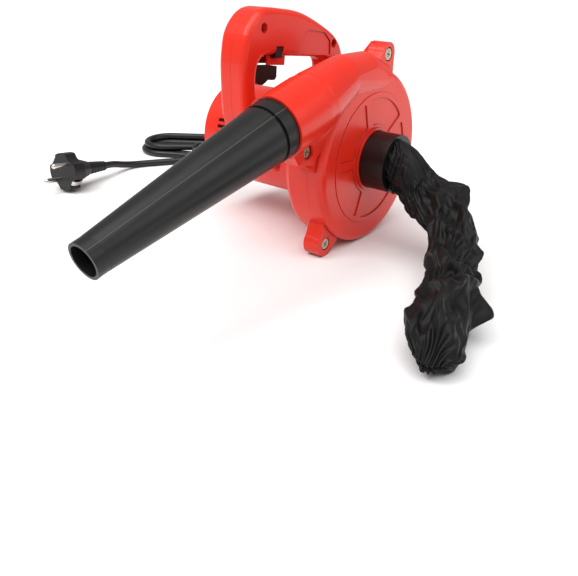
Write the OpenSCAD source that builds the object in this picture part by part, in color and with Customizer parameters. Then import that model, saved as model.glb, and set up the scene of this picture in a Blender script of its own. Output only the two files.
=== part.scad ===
// Hand-held car dryer blower: round fan case with a round outlet, D handle over a
// motor barrel, taper nozzle, dust bag on the air inlet, and a mains lead.
// Blower axes: fan shaft along Y with the air inlet towards -Y, outlet towards -X,
// handle towards +Z. stand() leans the blower as it rests on its case rim, its lower
// screw ear and its foot.

/* [Fan case] */
// Outer radius of the round fan case
case_r = 65.6; // [60:0.2:72]
// Depth of the front cover ahead of the case seam
front_d = 12.8; // [12:0.2:16]
// Rounding between the case's side and its flat face
face_round = 5.2; // [3:0.2:7]
// Depth of the rear shell behind the case seam
back_d = 22; // [20:0.5:26]
// Wall thickness of the plastic mouldings
wall = 2.2; // [1.8:0.1:3]
// Height of the outlet tube's centre line above the fan axis
tube_z = 64; // [60:0.5:68]
// Outer radius of the outlet tube
tube_r = 21.8; // [21:0.1:24]
// Distance from the fan axis to the outlet mouth
mouth_x = 88.5; // [84:0.5:96]
// Radius of the lower screw ear's rounded end
ear_r = 10; // [8:0.5:11]

/* [Nozzle] */
// Length of nozzle in front of the outlet mouth
nozzle_l = 156; // [120:1:220]
// Outer radius at the nozzle's tip
tip_r = 11.2; // [10:0.2:14]
// Outer radius at the nozzle's root
root_r = 19.6; // [18.5:0.1:20]

/* [Air inlet] */
// Radius of the hole in the inlet face
inlet_r = 19.6; // [18:0.2:20]
// Outer radius of the bag collar
collar_r = 21.6; // [21:0.1:21.8]

/* [Motor barrel] */
// Outer radius of the motor barrel
barrel_r = 40; // [38.5:0.5:44]
// Distance from the case seam to the barrel's rear end
barrel_end = 128; // [124:1:140]

/* [Handle] */
// Distance from the case seam to the handle's middle plane
grip_y = 60; // [58:1:64]
// Thickness of the handle
grip_t = 25; // [24:1:30]

/* [Mains lead] */
// Diameter of the lead
lead_d = 6.8; // [6:0.2:8]

/* [Hidden] */
$fn = 96;
red = "orangered";
blk = "dimgray";

// screw ears: distance from the fan axis, direction and end radius
ears = [[76.6, 58.5, ear_r - 1.4], [79.4, 150.5, ear_r - 0.6], [75, 214, ear_r]];
ear_back = 6.5;
// lean that brings the lower ear down to the level of the case rim
rest_tilt = asin((case_r - ear_r) / ears[2][0]) - (ears[2][1] - 180);
org = [94.9, 11.5];
sock_r = 18.2;
spig_r = 18.12;
split = -grip_y;

module stand() translate([org[0], org[1], case_r]) rotate([0, -rest_tilt, 0]) children();
// local z runs towards the inlet (blower -Y), local y is blower up
module fan() rotate([90, 0, 0]) children();
module ring(r2, r1, h) difference() {
  cylinder(r = r2, h = h);
  translate([0, 0, -1]) cylinder(r = r1, h = h + 2);
}
module slab(z0, z1, w = 400) translate([-w / 2, -w / 2, z0]) cube([w, w, z1 - z0]);
function arc(r, a0, a1, n = 12) = [for (i = [0:n]) let(a = a0 + (a1 - a0) * i / n) [r * cos(a), r * sin(a)]];
module sector(r2, r1, a0, a1, h, n = 12) linear_extrude(h)
  polygon(concat(arc(r2, a0, a1, n), arc(r1, a1, a0, n)));
module at(p) rotate([0, 0, p[1]]) translate([p[0], 0, 0]) children();
// smooth closed curve through hand-set corners
function cr(a, b, c, d, t) = 0.5 * (2 * b + (c - a) * t + (2 * a - 5 * b + 4 * c - d) * t * t
  + (3 * b - a - 3 * c + d) * t * t * t);
function loop(p, k) = let(n = len(p)) [for (i = [0:n - 1]) for (j = [0:k - 1])
  cr(p[(i + n - 1) % n], p[i], p[(i + 1) % n], p[(i + 2) % n], j / k)];
function path(p, k) = let(n = len(p)) concat([for (i = [0:n - 2]) for (j = [0:k - 1])
  cr(p[max(i - 1, 0)], p[i], p[i + 1], p[min(i + 2, n - 1)], j / k)], [p[n - 1]]);
function unit(v) = v / norm(v);
function tang(q, i) = unit(q[min(i + 1, len(q) - 1)] - q[max(i - 1, 0)]);
// rings of half-widths [sideways, upright] about each point of q
module sweep(q, s, n = 10, up = [0, 0, 1]) {
  m = len(q);
  pts = [for (i = [0:m - 1]) let(t = tang(q, i), u = unit(cross(up, t)), v = cross(t, u))
    for (k = [0:n - 1]) q[i] + u * s[i][0] * cos(360 * k / n) + v * s[i][1] * sin(360 * k / n)];
  faces = concat([[for (k = [0:n - 1]) n - 1 - k]], [[for (k = [0:n - 1]) (m - 1) * n + k]],
    [for (i = [0:m - 2]) for (k = [0:n - 1]) each
      [[i * n + k, i * n + (k + 1) % n, (i + 1) * n + (k + 1) % n],
       [i * n + k, (i + 1) * n + (k + 1) % n, (i + 1) * n + k]]]);
  polyhedron(pts, [for (f = faces) [for (j = [len(f) - 1:-1:0]) f[j]]], convexity = 8);
}

// ---- fan case ----
rim = concat([[0, 0], [case_r, 0]],
  [for (i = [0:9]) [case_r - face_round * (1 - cos(10 * i)), front_d - face_round * (1 - sin(10 * i))]],
  [[0, front_d]]);
module case_disc(o) rotate_extrude() polygon([for (p = rim) [max(p[0] - (p[0] > 0 ? o : 0), 0), p[1] - (p[1] > 0 ? o : 0)]]);
// outlet tube, tapering as it runs over the case's shoulder and fades into its face
module channel(o) {
  f = o > 0 ? 20 : 40;
  hull() {
    translate([-48, tube_z + 0.6, 0]) sphere(r = 20.9 - o, $fn = f);
    translate([-14, 67.2, 0]) sphere(r = 16 - o, $fn = f);
  }
  hull() {
    translate([-14, 67.2, 0]) sphere(r = 16.02 - o, $fn = f - 4);
    translate([13.2, 62.6, 0]) sphere(r = 13.3 - o, $fn = f - 4);
    rotate([0, 0, -34]) translate([0, 58.4, 0]) sphere(r = 12.7 - o, $fn = f - 8);
  }
  translate([-mouth_x, tube_z, 0]) rotate([0, 90, 0]) cylinder(r = tube_r - o, h = mouth_x - 56);
  translate([-56.01, tube_z, 0]) rotate([0, 90, 0]) cylinder(r1 = tube_r - o, r2 = tube_r - 1.2 - o, h = 10);
}
module outlet_cuts() {
  translate([-mouth_x - 1, tube_z, 0]) rotate([0, 90, 0]) {
    cylinder(r = sock_r, h = 30);
    translate([0, 0, 10]) cylinder(r = 20, h = 4.6);
    for (a = [55, 235]) rotate([0, 0, a]) translate([0, -4.2, 0]) cube([20, 8.4, 12]);
  }
}
module ear2d(e) at(e) {
  circle(r = e[2]);
  polygon([[-20, -e[2] - 6], [0, -e[2]], [0, e[2]], [-20, e[2] + 6]]);
}
module crotch() polygon([[-86, 50], [-80, 34], [-66, 27], [-52, 34], [-44, 58], [-70, 62]]);
// web between the outlet tube and the case, rising to the corner where they meet
module web() hull() {
  linear_extrude(7.6) crotch();
  translate([-40, 48, 0]) cylinder(r = 3, h = 11.6, $fn = 32);
}
// five shallow fields, leaving a raised rim and spokes between them
module fields() for (a = [18:72:306]) translate([0, 0, front_d - 0.4]) linear_extrude(2)
  offset(r = 2) offset(delta = -5) polygon(concat(arc(48.8, a, a + 72, 24), arc(23, a + 72, a, 12)));
module fan_case_front() color(red) stand() fan() {
  difference() {
    union() {
      case_disc(0);
      intersection() { channel(0); slab(0, 60); }
      for (e = ears) linear_extrude(6.9) ear2d(e);
      web();
      translate([0, 0, front_d - 1]) cylinder(r = 49.4, h = 1.5);
      translate([0, 0, front_d - 1]) cylinder(r = 23.8, h = 3.2);
    }
    difference() {
      union() {
        case_disc(wall);
        intersection() { channel(wall); slab(-1, 60); }
      }
      translate([-mouth_x - 1, tube_z, 0]) rotate([0, 90, 0]) cylinder(r = tube_r + 1, h = 21);
    }
    outlet_cuts();
    fields();
    translate([0, 0, 2]) cylinder(r = inlet_r, h = 20);
    translate([0, 0, front_d - 0.2]) cylinder(r = 21.9, h = 9);
    for (a = [40, 220]) rotate([0, 0, a]) translate([0, -4.2, 4]) cube([21.4, 8.4, 12]);
    for (e = ears) at(e) {
      translate([0, 0, -1]) cylinder(r = 2.25, h = 20);
      translate([0, 0, 4.2]) cylinder(r = 5, h = 20);
    }
  }
}
module fan_case_rear() color(red) stand() fan() {
  difference() {
    union() {
      rotate_extrude() polygon([[0, 0], [case_r, 0], [case_r, -back_d + 5], [case_r - 1.4, -back_d + 1.6],
        [case_r - 4, -back_d], [0, -back_d]]);
      intersection() { channel(0); slab(-60, 0); }
      for (e = ears) translate([0, 0, -ear_back]) linear_extrude(ear_back) ear2d(e);
      rotate([0, 0, ears[0][1]]) rotate([90, 0, 0]) linear_extrude(13, center = true)
        polygon([[60, -18], [66, -18], [83.6, -ear_back], [83.6, -4], [60, -4]]);
      translate([0, 0, -9]) linear_extrude(9) crotch();
      translate([0, 0, -34]) cylinder(r = 14, h = 20);
      for (a = [45:90:315]) at([33, a]) translate([0, 0, -30]) cylinder(r = 4, h = 10);
    }
    difference() {
      union() {
        translate([0, 0, -back_d + wall]) cylinder(r = case_r - wall, h = 60);
        intersection() { channel(wall); slab(-60, 1); }
      }
      translate([-mouth_x - 1, tube_z, 0]) rotate([0, 90, 0]) cylinder(r = tube_r + 1, h = 21);
      translate([0, 0, -back_d]) cylinder(r = 14, h = 4.5);
    }
    outlet_cuts();
    translate([0, 0, -50]) cylinder(r = 5, h = 60);
    translate([0, 0, -35]) cylinder(r = 11, h = 9);
    for (e = ears) at(e) translate([0, 0, -ear_back + 0.7]) cylinder(r = 1.9, h = 20);
    for (a = [45:90:315]) at([33, a]) translate([0, 0, -31]) cylinder(r = 1.4, h = 8);
    for (a = [0:45:315]) at([24, a]) translate([0, 0, -30]) cylinder(r = 3, h = 20);
  }
}
module screw(hr, hh, sr, l) {
  difference() {
    cylinder(r = hr, h = hh);
    for (a = [0, 90]) rotate([0, 0, a]) translate([-hr * 0.62, -0.5, hh - 1.3]) cube([hr * 1.24, 1, 2]);
  }
  translate([0, 0, -l]) cylinder(r = sr, h = l + 0.01);
}
module case_screws() color("silver") stand() fan() for (e = ears) at(e)
  translate([0, 0, 4.2]) screw(4.2, 2.4, 1.9, 9.6);

// ---- housing and D handle ----
grip_out = [[-38, -6], [-55, 14], [-64, 34], [-66, 52], [-62, 72], [-56, 92], [-46, 108], [-28, 115.5],
  [-6, 109], [16, 99], [38, 83], [53, 69], [59, 54], [56, 38], [45, 20], [20, 10], [-14, 2]];
grip_in = [[-46, 44], [-49, 60], [-46, 74], [-40, 83], [-30, 84.5], [-14, 78], [3, 71.5], [24, 63.5], [38, 58],
  [44, 51], [41, 42], [24, 44], [4, 46], [-20, 45], [-36, 40]];
grip_e = 5;
gs = [[-31, 104], [47, 66], [-55, 32], [51.5, 47]];
module grip2d(o) offset(delta = -o) difference() {
  polygon(loop(grip_out, 5));
  polygon(loop(grip_in, 4));
}
// one half of the handle, edges rounded, growing to +z from the split
module grip_half() intersection() {
  minkowski() {
    translate([0, 0, -1]) linear_extrude(grip_t / 2 - grip_e + 1) grip2d(grip_e);
    sphere(r = grip_e, $fn = 20);
  }
  slab(0, 40);
}
module grip_hollow() difference() {
  translate([0, 0, -1]) linear_extrude(grip_t / 2 - wall) grip2d(wall + 0.6);
  for (p = gs) translate([p[0], p[1], -2]) cylinder(r = 4.6, h = 30);
  translate([gd[0], gd[1], -2]) rotate([0, 0, ga]) translate([-4, -11, 0]) cube([20, 22, 30]);
}
sw_a = -21;
module skirt(h) translate([-14, 73.5, 0]) rotate([0, 0, sw_a]) translate([-15, -2.3, 0]) cube([19.8, 9.8, h]);
module skirt_cut(h) translate([-14, 73.5, -1]) rotate([0, 0, sw_a]) translate([-30, -3.3, 0]) cube([32.8, 13.8, h + 1]);
module trig_room() translate([-52, 60, -1]) cube([26, 24, 6.8]);
module pin_at(r, z0, h) translate([tp[0], tp[1], z0]) cylinder(r = r, h = h);
tp = [-45, 78];
module housing_front() color(red) stand() fan() difference() {
  union() {
    translate([0, 0, split]) cylinder(r = barrel_r, h = grip_y - back_d);
    translate([0, 0, split]) grip_half();
    translate([0, 0, split]) skirt(7.4);
  }
  difference() {
    translate([0, 0, split - 1]) cylinder(r = barrel_r - 2.4, h = grip_y - back_d - 2);
    for (p = gs) translate([p[0], p[1], split - 2]) cylinder(r = 4.6, h = 12);
  }
  translate([0, 0, split]) difference() {
    grip_hollow();
    pin_at(4, -2, 30);
  }
  translate([0, 0, split]) { skirt_cut(5.8); trig_room(); pin_at(2, -1, 8); }
  translate([0, 0, -30]) cylinder(r = 14.2, h = 20);
  for (a = [45:90:315]) at([33, a]) translate([0, 0, -27]) cylinder(r = 4.3, h = 8);
  for (p = gs) translate([p[0], p[1], split]) {
    translate([0, 0, -1]) cylinder(r = 1.8, h = 40);
    translate([0, 0, 6]) cylinder(r = 3.4, h = 40);
  }
  translate([0, 0, split + grip_t / 2 - 1]) linear_extrude(3)
    polygon([[-1, 73], [10.6, 85], [14, 86.6], [19, 86], [37, 78], [43, 69.5], [41, 59.5]]);
  translate([-18.6, 83.6, split + 2]) rotate([0, 0, sw_a]) translate([-4.2, -5.2, 0]) cube([8.4, 8.4, 20]);
  guard_bore();
}
module rest_foot() color(red) stand() fan() rotate([0, 0, -rest_tilt]) difference() {
  translate([1, -case_r, split]) cube([28, 40, 17]);
  translate([3.6, -case_r - 1, split + 2.6]) cube([22.8, 24, 11.8]);
  translate([0, 0, split - 1]) cylinder(r = barrel_r, h = 20);
}
module housing_rear() color(red) stand() fan() difference() {
  union() {
    translate([0, 0, -barrel_end + 12]) cylinder(r = barrel_r, h = barrel_end - 12 - grip_y);
    translate([0, 0, split]) mirror([0, 0, 1]) { grip_half(); skirt(7.4); }
  }
  difference() {
    translate([0, 0, -barrel_end]) cylinder(r = barrel_r - 2.4, h = barrel_end);
    for (p = gs) translate([p[0], p[1], split - 12]) cylinder(r = 4.6, h = 22);
  }
  translate([0, 0, split]) mirror([0, 0, 1]) {
    difference() { grip_hollow(); pin_at(4, -2, 30); }
    skirt_cut(5.8);
    trig_room();
    pin_at(2, -1, 8);
  }
  for (p = gs) translate([p[0], p[1], split - 8]) cylinder(r = 1.52, h = 20);
  for (s = [-1, 1], k = [0:3]) rotate([0, 0, 90 - s * 62]) translate([20, 5 * (k - 1.5) - 1.6, -114]) cube([24, 2.6, 9]);
  guard_bore();
}
module rear_grille() color(red) stand() fan() translate([0, 0, -barrel_end]) difference() {
  union() {
    ring(barrel_r, barrel_r - 2.6, 12);
    translate([0, 0, 4.2]) ring(barrel_r - 2.45, barrel_r - 4.6, 9.6);
    cylinder(r = 13.4, h = 2.4);
    for (r = [19.4, 25.6, 32]) ring(r, r - 2.1, 4);
    translate([0, 0, 2.2]) ring(barrel_r - 2, 24.4, 1.5);
    for (i = [0:11]) rotate([0, 0, 15 + 30 * i]) translate([12.6, -1, 1]) cube([25.6, 2, 2.5]);
    translate([0, 0, 2.2]) sector(24.2, 18.4, 290, 314, 1.5, 6);
  }
  for (a = [303, 328], r = [28, 34.6]) rotate([0, 0, a]) translate([r, 0, -1]) cylinder(r = 1.2, h = 8);
}
module handle_screws() color("silver") stand() fan() for (p = gs)
  translate([p[0], p[1], split + 6.02]) screw(3.1, 2.2, 1.5, 12.5);

// ---- trigger and switch ----
module trigger() color(blk) stand() fan() translate([0, 0, split - 5]) difference() {
  linear_extrude(10) polygon([[-47.5, 80], [-43, 81], [-37, 78.5], [-16, 70.8], [-17.4, 66.6], [-18.4, 63.4],
    [-21, 62.2], [-24.5, 63.4], [-28, 65], [-31.5, 64.2], [-35, 63.8], [-38.5, 65.4], [-42.5, 70], [-48, 76]]);
  translate([tp[0], tp[1], -1]) cylinder(r = 2.06, h = 12);
}
module trigger_pin() color("silver") stand() fan() pin_at(2, split - 6.9, 13.8);
module trigger_spring() color("silver") stand() fan() for (k = [0, 1])
  translate([tp[0], tp[1], split + 5.22 + 0.36 * k]) rotate_extrude($fn = 40) translate([2.9, 0]) circle(r = 0.17, $fn = 16);
module switch_body() color("black") stand() fan() translate([2, 82, split - 7])
  rotate([0, 0, sw_a]) translate([-22, -5, 0]) { cube([30, 13, 12]); translate([4, -7.4, 5]) cube([5, 7.5, 4]); }
module lock_button() color(blk) stand() fan() translate([-18.6, 83.6, split + 7.6]) rotate([0, 0, sw_a])
  translate([-3.8, -4.8, 0]) cube([7.6, 7.6, grip_t / 2 - 8.4]);

// ---- rotor ----
module blade(n = 8) for (i = [0:n - 1]) rotate([0, 0, 360 / n * i]) linear_extrude(13)
  polygon(concat([for (k = [0:8]) let(r = 19 + 35 * k / 8, a = -42 * k / 8) [r * cos(a), r * sin(a)]],
    [for (k = [8:-1:0]) let(r = 19 + 35 * k / 8, a = -42 * k / 8 - 90 / r) [r * cos(a), r * sin(a)]]));
module fan_impeller() color("white") stand() fan() difference() {
  union() {
    translate([0, 0, -12]) cylinder(r = 55, h = 2);
    translate([0, 0, -11]) blade();
    translate([0, 0, -12]) cylinder(r = 10, h = 9);
  }
  translate([0, 0, -14]) cylinder(r = 4.02, h = 20);
}
module fan_washer() color("silver") stand() fan() translate([0, 0, -3]) ring(8, 4.1, 1.5);
module fan_nut() color("silver") stand() fan() difference() {
  translate([0, 0, -1.5]) cylinder(r = 7.5, h = 6, $fn = 6);
  translate([0, 0, -3]) cylinder(r = 3.5, h = 10);
}
module rotor_shaft() color("silver") stand() fan() {
  translate([0, 0, -1.5]) cylinder(r = 3.5, h = 8);
  translate([0, 0, -33.4]) cylinder(r = 4, h = 31.9);
  translate([0, 0, -108]) cylinder(r = 5, h = 74.6);
  translate([0, 0, -117]) cylinder(r = 4, h = 9);
}
module armature_core() color("gray") stand() fan() difference() {
  translate([0, 0, -80]) cylinder(r = 19.4, h = 38);
  translate([0, 0, -81]) cylinder(r = 5, h = 40);
  for (i = [0:11]) rotate([0, 0, 30 * i]) {
    at([14, 0]) translate([0, 0, -81]) cylinder(r = 2.2, h = 40);
    translate([14, -0.8, -81]) cube([8, 1.6, 40]);
  }
}
module armature_windings() color("peru") stand() fan() for (z = [-42, -80]) translate([0, 0, z]) mirror([0, 0, z < -60 ? 1 : 0])
  rotate_extrude() polygon([[5.05, 0], [18, 0], [18, 3], [15.5, 6], [10, 7.4], [5.05, 7.4]]);
module commutator() color("chocolate") stand() fan() difference() {
  translate([0, 0, -105]) ring(11, 5, 13);
  for (i = [0:23]) rotate([0, 0, 15 * i]) translate([10, -0.3, -106]) cube([2, 0.6, 12]);
}

// ---- fixed motor parts ----
module bearing(z, r2, r1) translate([0, 0, z]) rotate_extrude() polygon([[r1, 0], [r2, 0], [r2, 7], [r2 - 2, 7],
  [r2 - 2, 6.2], [r1 + 2, 6.2], [r1 + 2, 7], [r1, 7]]);
module bearing_front() color("silver") stand() fan() bearing(-33, 11, 4.02);
module bearing_rear() color("silver") stand() fan() bearing(-116, 9.5, 4.02);
module stator_core() color("gray") stand() fan() translate([0, 0, -80]) {
  difference() {
    intersection() {
      ring(barrel_r - 2.5, 29.5, 38);
      translate([-34, -40, 0]) cube([68, 80, 38]);
    }
  }
  for (a = [90, 270]) sector(30, 20, a - 44, a + 44, 38, 24);
}
module field_coils() color("peru") stand() fan() for (a = [90, 270]) {
  for (s = [a - 66, a + 46]) translate([0, 0, -88]) sector(29, 21.4, s, s + 20, 54, 8);
  for (z = [-88, -41.5]) translate([0, 0, z]) sector(29, 21.4, a - 66, a + 66, 7.5, 24);
}
module bearing_bracket() color("whitesmoke") stand() fan() difference() {
  translate([0, 0, -117]) union() {
    translate([0, 0, 3.2]) ring(barrel_r - 2.45, 33.5, 5.8);
    cylinder(r = 13, h = 9);
    for (a = [45:90:315]) rotate([0, 0, a]) translate([11, -3.5, 0]) cube([24, 7, 5]);
  }
  translate([0, 0, -116]) cylinder(r = 9.5, h = 20);
  translate([0, 0, -120]) cylinder(r = 5, h = 20);
}
module brush_box(a, o, z0, z1) rotate([0, 0, a]) translate([z0, -3 - o, -102.5 - o]) cube([z1 - z0, 6 + 2 * o, 8 + 2 * o]);
module brush_holders() color("goldenrod") stand() fan() for (a = [0, 180]) difference() {
  union() {
    brush_box(a, 1.2, 13, 34);
    rotate([0, 0, a]) translate([26, -7, -108]) cube([6, 14, 19.3]);
  }
  brush_box(a, 0.05, 12, 33);
}
module carbon_brushes() color("black") stand() fan() for (a = [0, 180]) brush_box(a, 0, 11.1, 22);
module brush_springs() color("silver") stand() fan() for (a = [0, 180]) rotate([0, 0, a])
  for (k = [0:6]) translate([22.4 + 1.6 * k, 0, -98.5]) rotate([0, 90, 0]) rotate_extrude($fn = 32) translate([2, 0]) circle(r = 0.35, $fn = 16);
module suppressor() color("gold") stand() fan() translate([-61, 45, split - 5]) cube([7, 14, 10]);

// ---- lead exit ----
gd = [41, 27.5];
ga = -28;
module guard_axis() translate([gd[0], gd[1], split]) rotate([0, 0, ga]) rotate([0, 90, 0]) children();
module guard_bore() guard_axis() { translate([0, 0, -24]) cylinder(r = 5.6, h = 60); translate([0, 0, -2]) cylinder(r = 8, h = 4); }
module cord_guard() color("black") stand() fan() guard_axis() difference() {
  union() {
    translate([0, 0, -1.8]) cylinder(r = 7.9, h = 3.6);
    translate([0, 0, -8]) cylinder(r = 5.55, h = 17);
    translate([0, 0, 9]) cylinder(r1 = 6.4, r2 = 4.6, h = 36);
    for (k = [0:5]) translate([0, 0, 12 + 5 * k]) cylinder(r = 6.5 - 0.24 * k, h = 2.4);
  }
  translate([0, 0, -9]) cylinder(r = lead_d / 2, h = 60);
}
module cord_clamp() color("black") stand() fan() guard_axis() translate([0, 0, -18]) ring(5.5, lead_d / 2, 7);

// ---- nozzle ----
module nozzle() color(blk) stand() fan() translate([-mouth_x, tube_z, 0]) rotate([0, -90, 0]) difference() {
  union() {
    translate([0, 0, 0.2]) cylinder(r = 20.1, h = 10.2);
    translate([0, 0, 10]) cylinder(r = 18.2, h = 3);
    translate([0, 0, 12.6]) cylinder(r1 = root_r, r2 = tip_r + 0.12, h = nozzle_l - 20.6);
    translate([0, 0, nozzle_l - 9]) cylinder(r = tip_r, h = 9);
    translate([0, 0, -17]) cylinder(r = spig_r, h = 18);
    for (a = [0, 180]) rotate([0, 0, a]) translate([16.5, -3.6, -13.2]) cube([3.1, 7.2, 3.6]);
  }
  translate([0, 0, -18]) cylinder(r = 16, h = 30);
  translate([0, 0, 12]) cylinder(r1 = 16, r2 = tip_r - 1.9, h = nozzle_l - 22);
  translate([0, 0, nozzle_l - 10.5]) cylinder(r = tip_r - 1.9, h = 12);
  rotate([0, 0, 232]) translate([19, -1.6, -1]) cube([3, 3.2, 8]);
}

// ---- dust bag ----
module bag_collar() color("black") stand() fan() difference() {
  union() {
    translate([0, 0, front_d + 0.2]) cylinder(r = collar_r, h = 21.6);
    translate([0, 0, 6]) cylinder(r = inlet_r - 0.08, h = 8);
    for (a = [0, 180]) rotate([0, 0, a]) translate([17.6, -3.6, 7]) cube([3.4, 7.2, 3.2]);
  }
  translate([0, 0, 5]) cylinder(r = 17.4, h = 60);
}
// bag centre line from the collar out and down to the floor, with half-widths
bag_p = [[0, -35.1, 65.6], [0, -37, 65.6], [0, -39, 65.6], [-1, -47, 64.4], [-3, -60, 58], [-9, -75, 47], [-22, -88, 36], [-44, -99, 29],
  [-70, -110, 26], [-96, -120, 24.5], [-121, -128, 22], [-137, -132, 19]];
bag_s = [[21, 21], [20.6, 20.6], [20.2, 20.2], [19.2, 19.2], [22, 20], [25, 22], [25, 24], [25, 23], [26, 23], [27, 23], [24, 20], [15, 12]];
module dust_bag() color("black") translate([org[0], org[1], 0])
  sweep(path(bag_p, 3), path(bag_s, 3), 16);

// ---- mains lead, lying on the floor ----
lead_c = lead_d / 2 + 0.05;
hank_a = [67, 298];
hank_b = [122, 214.5];
hank_w = 61;
hank_h = 14.2;
// guard's outer end in standing coordinates
function lean(p) = [p[0] * cos(rest_tilt) - p[2] * sin(rest_tilt), p[1], p[0] * sin(rest_tilt) + p[2] * cos(rest_tilt) + case_r];
g0 = lean([gd[0] - 18 * cos(ga), grip_y, gd[1] - 18 * sin(ga)]);
g1 = lean([gd[0] + 26 * cos(ga), grip_y, gd[1] + 26 * sin(ga)]);
g2 = lean([gd[0] + 52 * cos(ga), grip_y, gd[1] + 52 * sin(ga)]);
lead_p = [g0, g1, g2, [112, 64, 62], [128, 74, 44], [144, 88, 24], [155, 106, 11], [159, 124, lead_c + 1.4],
  [158, 141, lead_c + 0.1], [150, 155, lead_c], [137, 165, lead_c], [122, 173, lead_c], [107.5, 183, lead_c],
  [94, 196.2, lead_c], [83, 212.9, lead_c], [74.6, 225.4, lead_c], [66.4, 238, lead_c], [61.8, 249, lead_c]];
end_p = [[88, 214.3, 10.7], [76, 221, 10.8], [65, 228, 8.8], [54, 236.5, 5.6], [44, 245.5, lead_c + 0.4],
  [34, 253.5, lead_c], [22, 262, lead_c], [10, 270.5, lead_c], [-2, 276.5, lead_c + 0.6], [-14, 277.8, 6.4],
  [-27, 276.3, 10.2], [-39.2, 274.7, 12.2], [-48.5, 273.6, 13.4]];
module lead(p) color("black") translate([org[0], org[1], 0]) let(q = path(p, 3))
  sweep(q, [for (i = q) [lead_d / 2, lead_d / 2]], 10);
module cord_lead() lead(lead_p);
module cord_end() lead(end_p);
module cord_hank() color("black") translate([org[0], org[1], 0.05]) let(v = hank_b - hank_a)
  translate([hank_a[0], hank_a[1], 0]) rotate([0, 0, atan2(v[1], v[0])]) linear_extrude(hank_h) {
    circle(r = hank_w / 2);
    translate([norm(v), 0]) circle(r = hank_w / 2);
    translate([0, -hank_w / 2]) square([norm(v), hank_w]);
  }

// ---- plug ----
module plug_at() translate([org[0] - 49, org[1] + 273.5, 13.5]) rotate([0, 0, 187]) rotate([0, 81.8, 0])
  rotate([0, 0, 55]) children();
module plug_body() color("black") plug_at() difference() {
  union() {
    for (k = [0:5]) translate([0, 0, -8 + 4 * k]) cylinder(r = 4.8 + 0.3 * k, h = 2.8);
    translate([0, 0, -10]) cylinder(r1 = 4, r2 = 6, h = 26);
    translate([0, 0, 14]) cylinder(r1 = 7, r2 = 12, h = 16);
    translate([0, 0, 29]) cylinder(r = 12.6, h = 6);
    translate([0, 0, 31]) cylinder(r = 17.6, h = 12);
  }
  translate([0, 0, -11]) cylinder(r = lead_d / 2, h = 12);
  for (s = [-1, 1]) translate([s * 20 - 5, -5, 20]) cube([10, 10, 40]);
  for (s = [-1, 1], t = [0, 1]) rotate([0, 0, 90 * t]) translate([s * 26.5, 0, 26]) cylinder(r = 12, h = 30);
}
module plug_pins() color("silver") plug_at() for (s = [-1, 1]) translate([0, s * 9.5, 0]) {
  translate([0, 0, 40]) cylinder(r = 2.4, h = 17);
  translate([0, 0, 57]) sphere(r = 2.4, $fn = 32);
}

fan_case_front();
fan_case_rear();
housing_front();
housing_rear();
rest_foot();
rear_grille();
nozzle();
bag_collar();
dust_bag();
case_screws();
handle_screws();
trigger();
trigger_pin();
trigger_spring();
switch_body();
lock_button();
fan_impeller();
fan_nut();
fan_washer();
rotor_shaft();
armature_core();
armature_windings();
commutator();
bearing_front();
bearing_rear();
stator_core();
field_coils();
bearing_bracket();
brush_holders();
carbon_brushes();
brush_springs();
suppressor();
cord_clamp();
cord_guard();
cord_lead();
cord_hank();
cord_end();
plug_body();
plug_pins();
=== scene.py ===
import math

import bpy
import numpy as np
from mathutils import Matrix, Vector, noise


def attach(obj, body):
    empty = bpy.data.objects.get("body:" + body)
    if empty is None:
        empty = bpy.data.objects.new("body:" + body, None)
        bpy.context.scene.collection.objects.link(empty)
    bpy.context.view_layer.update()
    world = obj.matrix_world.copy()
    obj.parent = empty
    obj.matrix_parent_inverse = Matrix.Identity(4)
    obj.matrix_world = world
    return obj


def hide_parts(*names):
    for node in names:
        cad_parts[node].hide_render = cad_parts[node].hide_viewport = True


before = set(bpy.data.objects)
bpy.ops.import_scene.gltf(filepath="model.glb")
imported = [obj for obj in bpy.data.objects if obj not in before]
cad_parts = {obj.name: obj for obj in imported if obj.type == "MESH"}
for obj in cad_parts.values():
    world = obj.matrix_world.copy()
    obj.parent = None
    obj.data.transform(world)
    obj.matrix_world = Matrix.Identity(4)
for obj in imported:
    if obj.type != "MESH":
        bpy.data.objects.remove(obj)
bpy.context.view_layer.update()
scene = bpy.context.scene

# ---- driving sizes, in millimetres unless a name says otherwise ----
ORG = Vector((94.9, 11.5, 0.0))  # the fan axis above the floor, in the row frame
CASE_R = 65.6  # fan case radius, which is also the axis height
LEAN = math.radians(13.845119303)  # how far the nozzle dips
GRIP_Y = 60.0  # middle of the handle along the motor axis
MOUTH_X, TUBE_Z = 88.5, 64.0  # outlet mouth, in the blower's own axes
LEAD_D = 6.8


def mm(p):
    """Millimetres to metres."""
    return Vector(p) * 0.001


def stand(p):
    """A point on the floor plan, counted from the fan axis, in row-frame metres."""
    return mm(Vector(p) + ORG)


def lean(x, y, z):
    """A point in the blower's own axes (nozzle -x, motor +y, handle +z), in row-frame metres."""
    c, s = math.cos(LEAN), math.sin(LEAN)
    return stand((x * c - z * s, y, x * s + z * c + CASE_R))


# ---- camera ----
cam_data = bpy.data.cameras.new("camera")
cam_data.sensor_width, cam_data.lens = 36.0, 39.8
cam_data.clip_start, cam_data.clip_end = 0.01, 60.0
camera = bpy.data.objects.new("camera", cam_data)
bearing, pitch, roll = math.radians(38.26), math.radians(-28.33), math.radians(0.41)
camera.matrix_world = (
    Matrix.Translation((-0.3202, -0.2482, 0.2106))
    @ Matrix.Rotation(bearing - math.pi / 2, 4, "Z")
    @ Matrix.Rotation(math.pi / 2 + pitch, 4, "X")
    @ Matrix.Rotation(roll, 4, "Z")
)
scene.collection.objects.link(camera)
scene.camera = camera
scene.view_settings.view_transform = "Standard"


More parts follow.
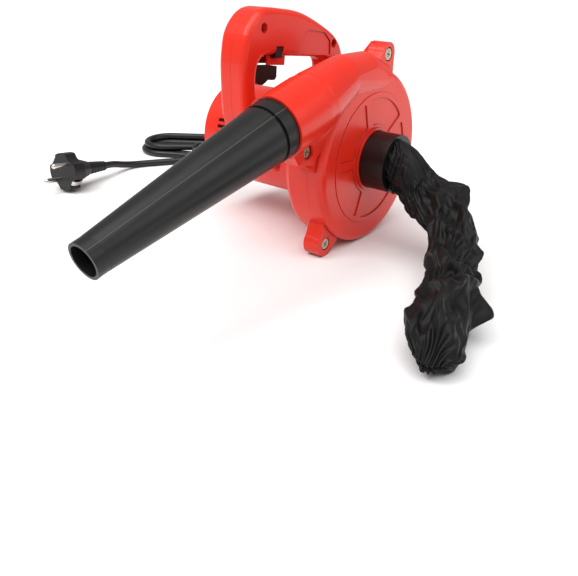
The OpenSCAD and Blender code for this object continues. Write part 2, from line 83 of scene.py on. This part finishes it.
# ---- the nozzle's own directions, for its material ----
NOZZLE_DIR = Vector((-math.cos(LEAN), 0.0, -math.sin(LEAN)))
NOZZLE_AT = lean(-MOUTH_X, 0, TUBE_Z)
NOZZLE_STREAKS = ((0.0, -LEAN, 0.0), (0.06, 1.0, 1.0))  # turned along the nozzle, and drawn out that way
PARTING_TURN = math.radians(37)  # how far the mould's parting line lies round from the top
PARTING = math.cos(PARTING_TURN) * Vector((-math.sin(LEAN), 0.0, math.cos(LEAN)))
PARTING -= math.sin(PARTING_TURN) * Vector((0, 1, 0))


# ---- node helpers ----
class Net:
    """A short way to build one node material."""

    def __init__(self, name, **principled):
        self.mat = bpy.data.materials.new(name)
        self.mat.use_nodes = True
        self.tree = self.mat.node_tree
        self.bsdf = self.tree.nodes["Principled BSDF"]
        for key, value in principled.items():
            self.bsdf.inputs[key.replace("_", " ")].default_value = value
        self.coord = self.node("ShaderNodeTexCoord").outputs["Object"]

    def node(self, kind, **settings):
        n = self.tree.nodes.new(kind)
        for key, value in settings.items():
            setattr(n, key, value)
        return n

    def link(self, value, socket):
        if isinstance(value, bpy.types.NodeSocket):
            self.tree.links.new(value, socket)
        else:
            socket.default_value = value

    def noise(self, scale, detail=2.0, rough=0.5, stretch=None, ridged=False):
        n = self.node("ShaderNodeTexNoise")
        if ridged:
            n.noise_type = "RIDGED_MULTIFRACTAL"
        for key, value in (("Scale", scale), ("Detail", detail), ("Roughness", rough)):
            n.inputs[key].default_value = value
        vector = self.coord
        if stretch:
            m = self.node("ShaderNodeMapping")
            m.inputs["Rotation"].default_value, m.inputs["Scale"].default_value = stretch
            self.link(vector, m.inputs["Vector"])
            vector = m.outputs["Vector"]
        self.link(vector, n.inputs["Vector"])
        return n.outputs["Fac"]

    def wave(self, scale, axis, distort):
        n = self.node("ShaderNodeTexWave", bands_direction=axis)
        n.inputs["Scale"].default_value = scale
        n.inputs["Distortion"].default_value = distort
        self.link(self.coord, n.inputs["Vector"])
        return n.outputs["Fac"]

    def spread(self, fac, low, high, start=0.0, stop=1.0):
        """Turns start..stop into low..high, and holds the ends."""
        n = self.node("ShaderNodeMapRange")
        values = {"Value": fac, "From Min": start, "From Max": stop, "To Min": low, "To Max": high}
        for key, value in values.items():
            self.link(value, n.inputs[key])
        return n.outputs["Result"]

    def math(self, op, a, b=0.0):
        n = self.node("ShaderNodeMath", operation=op)
        for value, socket in zip((a, b), n.inputs):
            self.link(value, socket)
        return n.outputs[0]

    def mix(self, fac, a, b):
        n = self.node("ShaderNodeMix", data_type="RGBA")
        self.link(fac, n.inputs["Factor"])
        for key, value in (("A", a), ("B", b)):
            socket = [s for s in n.inputs if s.name == key and s.type == "RGBA"][0]
            self.link(value if isinstance(value, bpy.types.NodeSocket) else (*value, 1.0), socket)
        return [s for s in n.outputs if s.type == "RGBA"][0]

    def bump(self, height, strength, distance, normal=None):
        n = self.node("ShaderNodeBump")
        n.inputs["Strength"].default_value = strength
        n.inputs["Distance"].default_value = distance
        self.link(height, n.inputs["Height"])
        if normal is not None:
            self.link(normal, n.inputs["Normal"])
        return n.outputs["Normal"]

    def groove_shade(self, colour, distance, dark):
        """Painted shade: darkens the colour in each groove and corner narrower than the distance."""
        n = self.node("ShaderNodeAmbientOcclusion", samples=6)
        n.inputs["Distance"].default_value = distance
        return self.mix(self.spread(n.outputs["AO"], 0.8, 0.0, 0.45, 0.97), colour, dark)

    def dot(self, axis, at):
        """Distance of the shaded point from a place, measured along an axis."""
        shift = self.node("ShaderNodeVectorMath", operation="SUBTRACT")
        self.link(self.coord, shift.inputs[0])
        self.link(tuple(at), shift.inputs[1])
        n = self.node("ShaderNodeVectorMath", operation="DOT_PRODUCT")
        self.link(shift.outputs[0], n.inputs[0])
        self.link(tuple(axis), n.inputs[1])
        return n.outputs["Value"]

    def rounded(self, radius):
        """The surface's normal with its sharp edges rounded off."""
        n = self.node("ShaderNodeBevel", samples=4)
        n.inputs["Radius"].default_value = radius
        return n.outputs["Normal"]

    def set(self, **values):
        for key, value in values.items():
            self.link(value, self.bsdf.inputs[key.replace("_", " ")])
        return self.mat


def moulded(name, base, shade, rough, seam_y=None, grain=1500.0, nozzle=False, shade_grooves=False, coat=0.0):
    """Injection-moulded plastic: uneven tone, sink marks, fine grain and rounded edges.
    It can have a seam line across the motor axis, drag lines and a parting line along the nozzle, or painted shade in
    each groove and corner."""
    net = Net(name, Coat_Weight=coat, Coat_Roughness=0.1, Specular_IOR_Level=0.36)
    cloud = net.noise(14.0, 2.0)
    colour = net.mix(net.spread(cloud, 0.0, 1.0, 0.32, 0.68), base, shade)
    speck = net.noise(800.0, 2.0)
    bright = [min(1.0, 1.3 * c + 0.008) for c in base]
    colour = net.mix(net.spread(speck, 0.0, 0.12, 0.55, 0.9), colour, bright)
    normal = net.bump(cloud, 0.05, 0.0012, net.rounded(0.0004))
    normal = net.bump(net.noise(46.0, 1.0), 0.035, 0.0004, normal)
    normal = net.bump(net.noise(grain, 1.0), 0.1, 0.00004, normal)
    roughness = net.spread(net.noise(60.0, 3.0, 0.6), rough - 0.04, rough + 0.07)
    if nozzle:
        lines = net.noise(90.0, 3.0, 0.6, stretch=NOZZLE_STREAKS)
        normal = net.bump(lines, 0.16, 0.0002, normal)
        colour = net.mix(net.spread(lines, 0.0, 0.4, 0.55, 0.8), colour, [1.7 * c + 0.006 for c in base])
        off = net.math("ABSOLUTE", net.dot(PARTING.cross(NOZZLE_DIR), NOZZLE_AT))
        near_line = net.spread(off, 1.0, 0.0, 0.00016, 0.0004)
        upper_side = net.spread(net.dot(PARTING, NOZZLE_AT), 0.0, 1.0, 0.0, 0.001)
        part = net.math("MULTIPLY", near_line, upper_side)
        colour = net.mix(net.math("MULTIPLY", part, 0.6), colour, (0.1, 0.098, 0.09))
        normal = net.bump(part, 0.6, 0.0003, normal)
    if shade_grooves:
        # painted shade: ambient occlusion darkens the colour in each narrow groove and corner
        colour = net.groove_shade(colour, 0.0016, [0.35 * c for c in base])
    if seam_y is not None:
        split = net.node("ShaderNodeSeparateXYZ")
        net.link(net.coord, split.inputs[0])
        off = net.math("ABSOLUTE", net.math("SUBTRACT", split.outputs["Y"], seam_y))
        line = net.spread(off, 1.0, 0.0, 0.0001, 0.00022)
        colour = net.mix(net.math("MULTIPLY", line, 0.4), colour, [0.3 * c for c in base])
        normal = net.bump(net.math("SUBTRACT", 1.0, line), 0.35, 0.0002, normal)
    return net.set(Base_Color=colour, Roughness=roughness, Normal=normal)


def metal(name, base, dark, rough):
    """Plated or bare metal with turning marks and a little tarnish."""
    net = Net(name, Metallic=1.0)
    tarnish = net.noise(420.0, 4.0, 0.6)
    colour = net.mix(net.spread(tarnish, 0.0, 1.0, 0.4, 0.75), base, dark)
    normal = net.bump(net.noise(2600.0, 2.0), 0.2, 0.00004, net.rounded(0.00015))
    roughness = net.spread(tarnish, rough - 0.07, rough + 0.12)
    return net.set(Base_Color=colour, Roughness=roughness, Normal=normal)


def rubber(name, base, rough):
    """Soft PVC: faint lengthwise drag lines, dust in the low spots."""
    net = Net(name, Specular_IOR_Level=0.45)
    dust = net.noise(260.0, 5.0, 0.7)
    colour = net.mix(net.spread(dust, 0.0, 0.6, 0.5, 0.85), base, [2.0 * c + 0.003 for c in base])
    normal = net.bump(net.noise(900.0, 3.0), 0.22, 0.00008, net.rounded(0.0003))
    return net.set(Base_Color=colour, Roughness=net.spread(dust, rough - 0.06, rough + 0.1), Normal=normal)


def nylon(name):
    """Thin coated nylon: a fine square weave, small creases and a dull sheen."""
    pale, deep, thread = (0.0062, 0.006, 0.0061), (0.0022, 0.0022, 0.0024), (0.011, 0.0107, 0.0105)
    net = Net(name, Sheen_Weight=0.02, Sheen_Roughness=0.4, Specular_IOR_Level=0.17)
    patch = net.noise(38.0, 4.0, 0.6)
    colour = net.mix(net.spread(patch, 0.0, 1.0, 0.3, 0.75), deep, pale)
    threads_x, threads_z, threads_y = (net.wave(520.0, axis, 0.4) for axis in "XZY")
    weave = net.math("MAXIMUM", net.math("MAXIMUM", threads_x, threads_z), threads_y)
    colour = net.mix(net.spread(weave, 0.0, 0.35, 0.6, 1.0), colour, thread)
    crease = net.noise(95.0, 4.0, 0.6, ridged=True)
    normal = net.bump(crease, 0.32, 0.0009)
    normal = net.bump(net.noise(330.0, 3.0, 0.6), 0.3, 0.00035, normal)
    normal = net.bump(weave, 0.3, 0.00005, normal)
    rough = net.spread(patch, 0.4, 0.56)
    return net.set(Base_Color=colour, Roughness=rough, Normal=normal)


# the seams between the case halves and between the housing halves
case_y, grip_y = ORG.y * 0.001, (ORG.y + GRIP_Y) * 0.001
RED, RED_SHADE = (0.76, 0.026, 0.009), (0.66, 0.018, 0.007)
# the red plastics get painted shade in each groove and corner
case_red = moulded("case_red", RED, RED_SHADE, 0.28, seam_y=case_y, shade_grooves=True, coat=0.12)
grip_red = moulded("grip_red", RED, RED_SHADE, 0.3, seam_y=grip_y, shade_grooves=True, coat=0.1)
cap_red = moulded("cap_red", RED, RED_SHADE, 0.3, shade_grooves=True, coat=0.1)
nozzle_black = moulded("nozzle_black", (0.0085, 0.0082, 0.0078), (0.006, 0.0058, 0.0056), 0.36, nozzle=True)
ring_black = moulded("ring_black", (0.0055, 0.0055, 0.0055), (0.004, 0.004, 0.004), 0.34)
part_black = moulded("part_black", (0.005, 0.005, 0.0052), (0.0035, 0.0035, 0.0037), 0.42)
fan_black = moulded("fan_black", (0.05, 0.05, 0.052), (0.035, 0.035, 0.037), 0.5)
board_brown = moulded("board_brown", (0.045, 0.03, 0.022), (0.03, 0.02, 0.015), 0.55)
carbon = moulded("carbon", (0.02, 0.02, 0.021), (0.03, 0.03, 0.031), 0.6, grain=2600.0)
film_yellow = moulded("film_yellow", (0.62, 0.44, 0.06), (0.5, 0.33, 0.04), 0.4)
zinc = metal("zinc", (0.62, 0.56, 0.42), (0.36, 0.31, 0.22), 0.3)
steel = metal("steel", (0.6, 0.6, 0.62), (0.42, 0.42, 0.44), 0.25)
core = metal("core", (0.3, 0.3, 0.31), (0.16, 0.15, 0.15), 0.45)
nickel = metal("nickel", (0.72, 0.7, 0.66), (0.5, 0.48, 0.45), 0.22)
copper = metal("copper", (0.72, 0.33, 0.18), (0.42, 0.17, 0.09), 0.35)
brass = metal("brass", (0.78, 0.6, 0.27), (0.5, 0.36, 0.14), 0.3)
pvc = rubber("pvc", (0.004, 0.004, 0.0042), 0.38)
bag_cloth = nylon("bag_cloth")

LOOK = {
    case_red: "fan_case_front fan_case_rear",
    grip_red: "housing_front housing_rear",
    cap_red: "rear_grille rest_foot",
    nozzle_black: "nozzle",
    ring_black: "bag_collar",
    part_black: "trigger lock_button switch_body",
    fan_black: "fan_impeller",
    board_brown: "bearing_bracket cord_clamp",
    carbon: "carbon_brushes",
    film_yellow: "suppressor",
    zinc: "case_screws handle_screws fan_nut fan_washer",
    steel: "rotor_shaft bearing_front bearing_rear trigger_pin trigger_spring brush_springs",
    core: "armature_core stator_core",
    nickel: "plug_pins",
    copper: "armature_windings commutator field_coils",
    brass: "brush_holders",
    pvc: "cord_guard plug_body",
}
for material, names in LOOK.items():
    for name in names.split():
        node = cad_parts[name]
        for slot in node.material_slots:
            slot.material = material


# ---- mesh helpers ----
def add_mesh(name, verts, faces, material, body, smooth=True):
    """A piece with its material, riding on a body."""
    mesh = bpy.data.meshes.new(name)
    mesh.from_pydata([tuple(v) for v in verts], [], faces)
    mesh.validate()
    mesh.update()
    obj = bpy.data.objects.new(name, mesh)
    scene.collection.objects.link(obj)
    mesh.materials.append(material)
    if smooth:
        mesh.polygons.foreach_set("use_smooth", [True] * len(mesh.polygons))
    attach(obj, body)
    return obj


def spline(points, steps):
    """Catmull-Rom through the points, with values of any width; the ends are kept."""
    p = np.array(points, float)
    ext = np.vstack([p[:1], p, p[-1:]])
    out = []
    for i in range(len(p) - 1):
        a, b, c, d = ext[i : i + 4]
        for k in range(steps):
            t = k / steps
            square, cube = 2 * a - 5 * b + 4 * c - d, 3 * b - a - 3 * c + d
            out.append(0.5 * (2 * b + (c - a) * t + square * t * t + cube * t**3))
    out.append(p[-1])
    return np.array(out)


def smoothstep(x):
    x = min(1.0, max(0.0, x))
    return x * x * (3 - 2 * x)


# ---- mains lead: out of its guard, down to the floor, three turns of a hank, then to the plug ----
GUARD_AT, GUARD_ANGLE, GUARD_END = (41.0, 27.5), math.radians(-28), 44.0
LEAD_C = LEAD_D / 2 + 0.05  # the lead's centre line when it lies on the floor
HANK_A, HANK_B = np.array([67.0, 298.0]), np.array([122.0, 214.5])


def on_guard(s):
    """A point s along the guard's axis, on the floor plan."""
    p = lean(GUARD_AT[0] + s * math.cos(GUARD_ANGLE), GRIP_Y, GUARD_AT[1] + s * math.sin(GUARD_ANGLE))
    return list(p * 1000 - ORG)


run_l = float(np.linalg.norm(HANK_B - HANK_A))
along = (HANK_B - HANK_A) / run_l
near = np.array([along[1], -along[0]])
STEP = LEAD_D + 0.1  # from one turn of the lead to the next
HANK_R = 20.0  # the inner turn's bend at the hank's ends


def half_turn(end, out, r, z, n=10):
    """Round one end of the hank, from the near side when out is -along, else from the far side."""
    start = near if out < 0 else -near
    rows = []
    for k in range(n + 1):
        a = math.pi * k / n
        rows.append([*(end + r * (math.cos(a) * start + math.sin(a) * out * along)), z])
    return rows


def straight(r_of, z_of, far=False, n=8):
    """Along one side of the hank; the share goes from 0 to 1 from b to a, or from a to b on the far side."""
    rows = []
    for k in range(1, n):
        t = k / n
        if far:
            at = HANK_A + along * run_l * t - near * r_of(t)
        else:
            at = HANK_B - along * run_l * t + near * r_of(t)
        rows.append([*at, z_of(t)])
    return rows


r_in, r_out, r_top = HANK_R, HANK_R + STEP, HANK_R + STEP / 2
z_top = LEAD_C + STEP


def late(t):
    """Changes over in the second half of a run."""
    return smoothstep(2 * t - 1)


def early(t):
    """Changes over in the first half of a run."""
    return smoothstep(2 * t)


def flat(value):
    """The same all along a run."""
    return lambda t: value


windings = (
    straight(lambda t: r_out + STEP * (1 - late(t)), flat(LEAD_C))
    + half_turn(HANK_A, -1, r_out, LEAD_C)
    + straight(flat(r_out), flat(LEAD_C), far=True)
    + half_turn(HANK_B, 1, r_out, LEAD_C)
    + straight(lambda t: r_out - STEP * late(t), flat(LEAD_C))
    + half_turn(HANK_A, -1, r_in, LEAD_C)
    + straight(flat(r_in), flat(LEAD_C), far=True)
    + half_turn(HANK_B, 1, r_in, LEAD_C)
    + straight(lambda t: r_in + STEP / 2 * late(t), lambda t: LEAD_C + STEP * early(t))
    + half_turn(HANK_A, -1, r_top, z_top)
    + straight(flat(r_top), flat(z_top), far=True)
    + half_turn(HANK_B, 1, r_top, z_top)
)
drop = [on_guard(GUARD_END), on_guard(52), [112, 64, 62], [128, 74, 44], [144, 88, 24], [155, 106, 11]]
drop += [[159, 124, LEAD_C + 1.4], [158, 141, LEAD_C + 0.1], [150, 155, LEAD_C], [137, 165, LEAD_C]]
drop += [[122, 173, LEAD_C], [107.5, 183, LEAD_C], [94, 196.2, LEAD_C]]
to_plug = [[94.6, 208.8, 10.6], [86, 215.8, 10.8], [76, 221, 10.8], [65, 228, 8.8], [54, 236.5, 5.6]]
to_plug += [[44, 245.5, LEAD_C + 0.4], [34, 253.5, LEAD_C], [22, 262, LEAD_C], [10, 270.5, LEAD_C]]
to_plug += [[-2, 276.5, LEAD_C + 0.6], [-14, 277.8, 6.4], [-27, 276.3, 10.2]]
to_plug += [[-39.2, 274.7, 12.2], [-48, 273.7, 13.3]]
route = spline(drop + windings + to_plug, 4)
lead_points = [stand(p) for p in route]

# a cable tie round the near side of the hank, flat on the floor underneath
TIE_BACK, TIE_W, TIE_T = 62, 1.8, 1.1  # how far from the hank's end, half its width, and its thickness
TIE_R, TIE_Z = 27.0, 7.0  # its middle, out from the hank's centre line and up from the floor
TIE_N = 24
tie_at = HANK_B - along * TIE_BACK
tie_ring = []
for k in range(TIE_N):
    a = 2 * math.pi * k / TIE_N
    across, lift = math.cos(a), math.sin(a)
    tie_r = TIE_R + 11.4 * math.copysign(abs(across) ** 0.55, across)
    tie_ring.append((tie_r, TIE_Z + 7.4 * math.copysign(abs(lift) ** 0.6, lift)))
tie_verts = []
for side, grow in ((-TIE_W, 0.0), (-TIE_W, TIE_T), (TIE_W, TIE_T), (TIE_W, 0.0)):
    lowest = 0.02 if grow else 0.05
    for r, z in tie_ring:
        x, y = tie_at + near * (r + grow * (1 if r > TIE_R else -1)) + along * side
        tie_verts.append(stand((x, y, max(lowest, z + grow * (1 if z > TIE_Z else -1)))))
tie_faces = []
for a in range(4):
    for k in range(TIE_N):
        here, there, after = a * TIE_N, (a + 1) % 4 * TIE_N, (k + 1) % TIE_N
        tie_faces.append((here + k, here + after, there + after, there + k))
add_mesh("cable_tie", tie_verts, tie_faces, part_black, "housing", smooth=False)

# sprung earth strips in the plug's two side notches; the plug lies on the floor, tilted and rolled
PLUG = Matrix.Translation(stand((-49, 273.5, 13.5))) @ Matrix.Rotation(math.radians(187), 4, "Z")
PLUG = PLUG @ Matrix.Rotation(math.radians(81.8), 4, "Y") @ Matrix.Rotation(math.radians(55), 4, "Z")
NOTCH_X, STRIP_W, STRIP_T = 15.1, 2.4, 0.5  # the notch's floor, half the strip's width, and its thickness
STRIP = [(0.0, 32.0), (0.5, 34.0), (1.1, 37.0), (1.1, 40.0), (0.4, 42.2), (-1.2, 42.9)]  # out and along
for name, side in (("earth_strip_a", -1), ("earth_strip_b", 1)):
    verts = [
        PLUG @ mm((side * (NOTCH_X + out + thick), wide, z))
        for thick in (0.0, STRIP_T)
        for wide in (-STRIP_W, STRIP_W)
        for out, z in STRIP
    ]
    n = len(STRIP)
    quads = []
    for k in range(n - 1):
        for a, b in ((0, 1), (1, 3), (3, 2), (2, 0)):
            quads.append((a * n + k, a * n + k + 1, b * n + k + 1, b * n + k))
    quads += [(0, n, 3 * n, 2 * n), (n - 1, 3 * n - 1, 4 * n - 1, 2 * n - 1)]
    add_mesh(name, verts, quads, nickel, "housing", smooth=False)

lead_curve = bpy.data.curves.new("mains_lead", "CURVE")
lead_curve.dimensions = "3D"
lead_curve.bevel_depth, lead_curve.bevel_resolution = LEAD_D / 2000, 5  # its radius in metres
lead_curve.use_fill_caps = True
line = lead_curve.splines.new("POLY")
line.points.add(len(lead_points) - 1)
for point, at in zip(line.points, lead_points):
    point.co = (*at, 1.0)
lead_curve.materials.append(pvc)
mains_lead = bpy.data.objects.new("mains_lead", lead_curve)
scene.collection.objects.link(mains_lead)
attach(mains_lead, "housing")
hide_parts("cord_lead", "cord_hank", "cord_end")

# ---- dust bag ----
# centre x, y, z on the floor plan and half-widths sideways and upright
BAG = [
    [0, -24.5, 65.6, 22.0, 22.0],
    [0, -29, 65.6, 22.3, 22.3],
    [0, -34, 65.2, 22.4, 22.6],
    [0, -38.5, 64.4, 23, 24],
    [-1, -46, 61, 23.4, 23.4],
    [-3, -57, 52, 22.5, 17.5],
    [-7, -70, 45.5, 21.5, 16.5],
    [-14, -85.5, 39.5, 20.5, 17],
    [-28, -98, 33, 18, 16.5],
    [-47, -107.5, 27, 18, 17.5],
    [-70, -117.5, 24, 20.5, 19],
    [-94.5, -127, 22, 23.5, 19],
    [-117, -134.5, 19.5, 25.5, 17.5],
    [-135, -140, 15.5, 24.5, 13.5],
    [-147, -143.5, 11, 15, 8],
]
# listed tugs: where, how far and how wide
TUGS = [
    ((4.5, -83, 55), (8.6, -8.4, 3.4), 12),  # the high corner where the bag turns down
    ((-88, -148, 12), (7, -12, 3), 9),  # the folded ear beside the bottom
    ((8, -62, 40), (-7, 9, 3), 9),  # the shaded pocket under the corner
    ((-28, -84, 22), (5, -5, 4), 9),  # the pinch on the inner side
    ((-58, -122, 42), (2, 3, -7), 9),  # the valley down the back
    ((-86, -128, 42), (3, 4, -6), 9),
    ((-110, -140, 34), (2, 5, -5), 8),
]
AROUND, BAG_STEPS = 84, 6
CUFF_ROWS = 3 * BAG_STEPS  # rows held by the collar
TWIST, DRAWN_OUT = 0.009, 0.42  # the folds wind round the bag, and are longer than they are wide


def folded(seed, at, scale):
    """Sharp at 0, where folds meet, and mostly under 1."""
    return abs(noise.noise(at * scale + Vector(seed))) * 2.6


def bag_shell():
    """The bag's skin in one tube of rings, folded and tugged, and closed at its end."""
    rows = spline(BAG, BAG_STEPS)
    verts, up, run = [], Vector((0, 0, 1)), 0.0
    for i, row in enumerate(rows):
        t = Vector(rows[min(i + 1, len(rows) - 1)][:3] - rows[max(i - 1, 0)][:3]).normalized()
        side = up.cross(t).normalized()
        top = t.cross(side)
        from_cuff, from_end = i - CUFF_ROWS - 2, len(rows) - 1 - i
        free = smoothstep(from_cuff / 10) * (0.25 + 0.75 * smoothstep(from_end / 14))
        run += Vector(row[:3] - rows[max(i - 1, 0)][:3]).length
        for k in range(AROUND):
            a = 2 * math.pi * k / AROUND
            p = Vector(row[:3]) + side * row[3] * math.cos(a) + top * row[4] * math.sin(a)
            out = (side * math.cos(a) + top * math.sin(a)).normalized()
            turn = a + TWIST * run
            q = Vector((20 * math.cos(turn), 20 * math.sin(turn), DRAWN_OUT * run))
            fold = 6.0 * (0.3 - min(folded((3.1, 0.7, 5.2), q, 0.05), 0.7))
            crease = 2.6 * (0.35 - min(folded((9.4, 2.2, 1.3), q, 0.1), 0.8))
            fine = 0.3 * (0.4 - folded((1.4, 7.2, 4.3), p, 0.15))
            p += out * free * (2.0 + fold + crease + fine)
            for where, pull, wide in TUGS:
                p += Vector(pull) * math.exp(-((p - Vector(where)).length / wide) ** 2)
            verts.append(p)
    faces = []
    for i in range(len(rows) - 1):
        here, there = i * AROUND, (i + 1) * AROUND
        for k in range(AROUND):
            after = (k + 1) % AROUND
            faces.append((here + k, here + after, there + after, there + k))
    last = (len(rows) - 1) * AROUND
    centre = len(verts)
    verts.append(Vector(rows[-1][:3]) + Vector((-3.0, -1.0, -0.5)))
    faces += [(last + k, last + (k + 1) % AROUND, centre) for k in range(AROUND)]
    return [stand((v.x, v.y, max(v.z, 0.5))) for v in verts], faces


bag_verts, bag_faces = bag_shell()
bag = add_mesh("dust_bag_cloth", bag_verts, bag_faces, bag_cloth, "housing")
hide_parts("dust_bag")


FRAMES = 16
FARTHEST = 0.009  # metres that a point may move
ON_FLOOR = 0.0004


def crumple(obj):
    """Lets the cloth grow a little, so that it buckles into creases, and keeps the result on the mesh.
    The rings keep their centres, so that the bag stays where it is."""
    pins = obj.vertex_groups.new(name="pins")
    rings = CUFF_ROWS + 1
    pins.add(list(range(rings * AROUND)), 1.0, "REPLACE")
    for i in range(rings, len(obj.data.vertices)):
        pins.add([i], 0.06, "REPLACE")
    cloth = obj.modifiers.new("cloth", "CLOTH")
    s = cloth.settings
    s.quality = 6
    s.mass = 0.12
    s.tension_stiffness = s.compression_stiffness = 18
    s.shear_stiffness = 8
    s.bending_stiffness = 0.06
    s.air_damping = 2.0
    s.shrink_min = -0.1
    s.vertex_group_mass = "pins"
    s.pin_stiffness = 0.6
    s.effector_weights.gravity = 0.25
    cloth.collision_settings.use_collision = False
    cloth.collision_settings.use_self_collision = True
    cloth.collision_settings.self_distance_min = 0.0012
    start = scene.frame_current
    for f in range(1, FRAMES + 1):
        scene.frame_set(f)
    made = bpy.data.meshes.new_from_object(obj.evaluated_get(bpy.context.evaluated_depsgraph_get()))
    co = np.empty(len(made.vertices) * 3)
    made.vertices.foreach_get("co", co)
    rest = np.empty(len(obj.data.vertices) * 3)
    obj.data.vertices.foreach_get("co", rest)
    move = (co - rest).reshape(-1, 3)
    in_rings = (len(move) - 1) // AROUND * AROUND
    ring_moves = move[:in_rings].reshape(-1, AROUND, 3)
    ring_moves -= ring_moves.mean(axis=1, keepdims=True)
    size = np.linalg.norm(move, axis=1, keepdims=True)
    move *= np.minimum(1.0, FARTHEST / np.maximum(size, 1e-9))
    co = rest.reshape(-1, 3) + move
    co[:, 2] = np.maximum(co[:, 2], ON_FLOOR)
    obj.modifiers.remove(cloth)
    obj.vertex_groups.clear()
    obj.data.vertices.foreach_set("co", co.ravel())
    obj.data.update()
    bpy.data.meshes.remove(made)
    scene.frame_set(start)


crumple(bag)
smooth_bag = bag.modifiers.new("smooth", "SUBSURF")
smooth_bag.levels = smooth_bag.render_levels = 1

# ---- floor and light ----
bpy.ops.mesh.primitive_plane_add(size=30.0, location=(0, 0, 0))
floor = bpy.context.object
floor.name = "floor"
paper = Net("paper", Specular_IOR_Level=0.2)
paper.set(
    Base_Color=paper.mix(paper.noise(3.0, 3.0), (0.9, 0.895, 0.89), (0.93, 0.93, 0.93)),
    Roughness=0.7,
    Normal=paper.bump(paper.noise(500.0, 2.0), 0.05, 0.0002),
)
floor.data.materials.append(paper.mat)

world = bpy.data.worlds.new("studio")
world.use_nodes = True
scene.world = world
sky = world.node_tree.nodes["Background"]
sky.inputs["Color"].default_value = (1.0, 0.99, 0.985, 1.0)
sky.inputs["Strength"].default_value = 0.4


def aimed(obj, at, aim):
    turn = (Vector(aim) - Vector(at)).to_track_quat("-Z", "Y").to_matrix().to_4x4()
    obj.matrix_world = Matrix.Translation(at) @ turn
    scene.collection.objects.link(obj)


def softbox(name, at, size, power):
    light = bpy.data.lights.new(name, "AREA")
    light.shape, light.size, light.energy = "SQUARE", size, power
    aimed(bpy.data.objects.new(name, light), at, (0.0, 0.05, 0.08))


broad = bpy.data.lights.new("broad", "SUN")
broad.energy, broad.angle = 2.7, math.radians(70)
aimed(bpy.data.objects.new("broad", broad), (-0.35, -0.1, 1.0), (0.0, 0.0, 0.0))
softbox("key", (-0.7, 0.5, 1.1), 0.5, 5)
softbox("front", (0.5, -1.2, 0.9), 0.8, 4)
